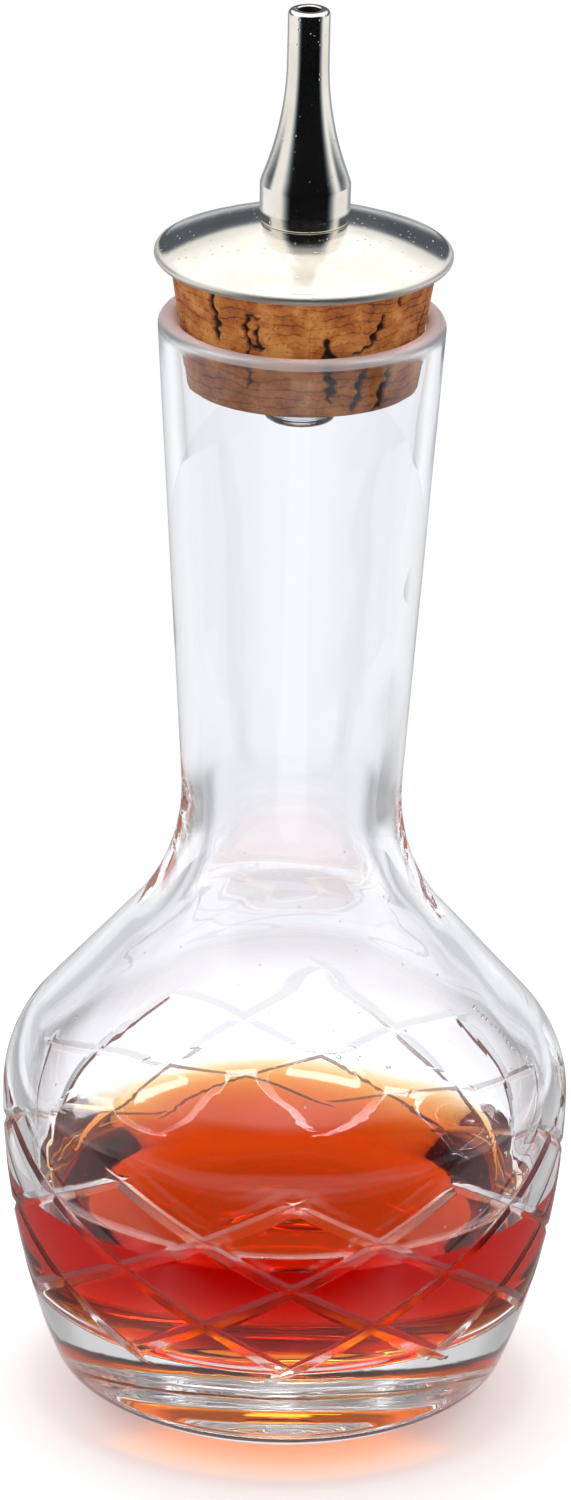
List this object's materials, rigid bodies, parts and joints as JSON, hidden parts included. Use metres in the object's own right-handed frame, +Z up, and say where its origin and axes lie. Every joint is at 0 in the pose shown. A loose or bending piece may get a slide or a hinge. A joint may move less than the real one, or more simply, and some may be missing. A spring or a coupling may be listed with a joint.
{
  "type": "bitters bottle",
  "caption": "Cut-glass bitters bottle with a crossed-line band, a tapered cork stopper, a domed metal cap plate and a fine dasher spout, part filled with bitters.",
  "frame": {"origin": "middle of the foot, on the plane that the bottle stands on", "axes": "+Z up along the axis of the bottle and its stopper, -Y towards the front of the picture, +X to its right"},
  "size_m": [0.0624, 0.0624, 0.1599],
  "materials": {
    "clear_glass": "fire polished, with polished V cuts",
    "bitters_liquid": "clear orange-red liquid",
    "natural_cork": "matte cork with growth lines and dark pores",
    "plated_metal": "polished warm nickel plate",
    "clear_plastic": "clear moulded plastic"
  },
  "bodies": {
    "glass": {"bottle": "clear_glass", "bitters": "bitters_liquid"},
    "stopper": {"cork": "natural_cork", "cap_plate": "plated_metal", "spout": "plated_metal", "stem_tube": "plated_metal", "flow_bush": "clear_plastic"}
  },
  "joints": [
    {"name": "stopper_lift", "type": "slide", "parent": "glass", "child": "stopper", "axis": [0, 0, 1], "range_m": [0, 0.045]}
  ]
}
